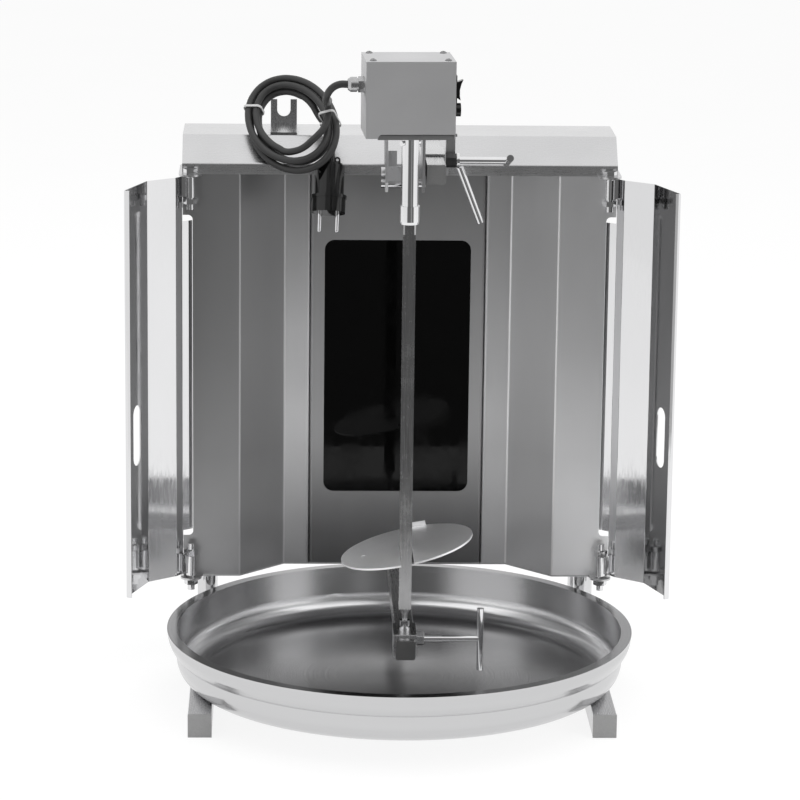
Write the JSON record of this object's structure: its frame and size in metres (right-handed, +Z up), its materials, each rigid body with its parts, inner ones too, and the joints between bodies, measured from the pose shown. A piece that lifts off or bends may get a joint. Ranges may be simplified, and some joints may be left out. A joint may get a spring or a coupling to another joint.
{
  "type": "upright roasting machine",
  "caption": "Upright spit roaster: a geared motor turns a square spit with a meat disc over a round drip pan, before a heated cabinet with swinging shield doors.",
  "frame": {"origin": "the middle of the drip pan, on the ground", "axes": "+Z up, +Y away from the cook, towards the heated cabinet, +X to the cook's right"},
  "size_m": [0.5914, 0.5004, 0.7113],
  "materials": {
    "brushed": "brushed stainless sheet",
    "polished": "polished stainless",
    "tube_steel": "ground stainless tube",
    "dark_plastic": "grained plastic",
    "black_plastic": "glossy moulded plastic",
    "grey_cap": "matt plastic",
    "light_cap": "matt plastic",
    "cord_rubber": "matt flexible sheath",
    "white_plastic": "soft tie",
    "black_glass": "polished dark ceramic glass",
    "dark_steel": "blackened steel",
    "heater": "oxidised heating tube",
    "bright_sheet": "bright reflector sheet",
    "insulation": "mineral fibre",
    "ceramic": "glazed ceramic",
    "motor_metal": "cast housing"
  },
  "bodies": {
    "cabinet": {"legs": "tube_steel", "leg_end_caps": "light_cap", "cross_bars": "brushed", "posts": "polished", "post_bolts": "polished", "floor_plate": "brushed", "top_plate": "brushed", "rear_cover": "brushed", "left_wing": "brushed", "right_wing": "brushed", "centre_panel": "brushed", "glass": "black_glass", "glass_frame": "brushed", "reflector": "bright_sheet", "heating_element": "heater", "insulation": "insulation", "terminal_block": "ceramic", "hood": "brushed", "spit_rest": "tube_steel", "arm_mounts": "brushed", "lower_arm": "tube_steel", "lower_arm_cap": "dark_plastic", "upper_arm": "tube_steel", "upper_arm_cap": "grey_cap", "left_hinge_bolts": "polished", "right_hinge_bolts": "polished"},
    "left_door": {"left_door": "polished"},
    "right_door": {"right_door": "polished"},
    "pan": {"pan": "polished"},
    "upper_carriage": {"upper_sleeve": "tube_steel", "clamp_nut": "dark_steel", "side_plate": "brushed", "cross_rod": "polished", "head_bracket": "brushed", "motor_base": "dark_steel", "motor_cover": "brushed", "cover_screws": "polished", "gear_motor": "motor_metal", "switch_housing": "black_plastic", "fuse_socket": "black_plastic", "cable_gland": "polished", "power_lead": "cord_rubber", "lead_coil": "cord_rubber", "plug_lead": "cord_rubber", "coil_ties": "white_plastic", "plug_body": "black_plastic", "plug_pins": "polished"},
    "rocker": {"rocker": "black_plastic"},
    "fuse_cap": {"fuse_cap": "black_plastic"},
    "upper_clamp_screw": {"upper_clamp_screw": "polished"},
    "lock_lever": {"lock_lever": "polished"},
    "drive": {"drive_tube": "polished", "drive_screws": "polished"},
    "lock_collar": {"lock_collar": "polished"},
    "spit": {"spit": "tube_steel"},
    "meat_disc": {"meat_disc": "polished"},
    "lower_carriage": {"lower_sleeve": "tube_steel", "pivot_cup": "polished"},
    "lower_clamp_screw": {"lower_clamp_screw": "polished"}
  },
  "joints": [
    {"name": "left_door_hinge", "type": "hinge", "parent": "cabinet", "child": "left_door", "pos_m": [-0.228, 0.132, 0.32], "axis": [0, 0, 1], "range_deg": [-2, 90]},
    {"name": "right_door_hinge", "type": "hinge", "parent": "cabinet", "child": "right_door", "pos_m": [0.228, 0.132, 0.32], "axis": [0, 0, 1], "range_deg": [-90, 2]},
    {"name": "pan_slide", "type": "slide", "parent": "cabinet", "child": "pan", "axis": [0, -1, 0], "range_m": [0, 0.25]},
    {"name": "upper_carriage_slide", "type": "slide", "parent": "cabinet", "child": "upper_carriage", "axis": [0, -1, 0], "range_m": [0, 0.02]},
    {"name": "lower_carriage_slide", "type": "slide", "parent": "cabinet", "child": "lower_carriage", "axis": [0, -1, 0], "range_m": [0, 0.02]},
    {"name": "drive_spin", "type": "hinge", "parent": "upper_carriage", "child": "drive", "pos_m": [0.002, -0.1, 0.6], "axis": [0, 0, 1], "continuous": true},
    {"name": "collar_slide", "type": "slide", "parent": "drive", "child": "lock_collar", "axis": [0, 0, 1], "range_m": [0, 0.008]},
    {"name": "spit_lift", "type": "slide", "parent": "drive", "child": "spit", "axis": [0, 0, 1], "range_m": [0, 0.0085]},
    {"name": "disc_slide", "type": "slide", "parent": "spit", "child": "meat_disc", "axis": [0, 0, 1], "range_m": [-0.04, 0.25]},
    {"name": "upper_clamp_turn", "type": "hinge", "parent": "upper_carriage", "child": "upper_clamp_screw", "pos_m": [0.08, 0.08, 0.576], "axis": [1, 0, 0], "range_deg": [-180, 180]},
    {"name": "lock_lever_turn", "type": "hinge", "parent": "upper_carriage", "child": "lock_lever", "pos_m": [0.06, 0.08, 0.576], "axis": [1, 0, 0], "range_deg": [-60, 60]},
    {"name": "rocker_switch", "type": "hinge", "parent": "upper_carriage", "child": "rocker", "pos_m": [0.04364, -0.102, 0.679], "axis": [-0.048, 0.9988, 0], "range_deg": [-14, 0]},
    {"name": "fuse_cap_twist", "type": "hinge", "parent": "upper_carriage", "child": "fuse_cap", "pos_m": [0.04714, -0.10184, 0.6575], "axis": [0.9988, 0.048, 0], "range_deg": [0, 90]},
    {"name": "lower_clamp_turn", "type": "hinge", "parent": "lower_carriage", "child": "lower_clamp_screw", "pos_m": [0.08, -0.1, 0.0975], "axis": [1, 0, 0], "range_deg": [-180, 180]}
  ],
  "couplings": [
    {"joint": "lower_carriage_slide", "follows": "upper_carriage_slide", "ratio": 1}
  ]
}
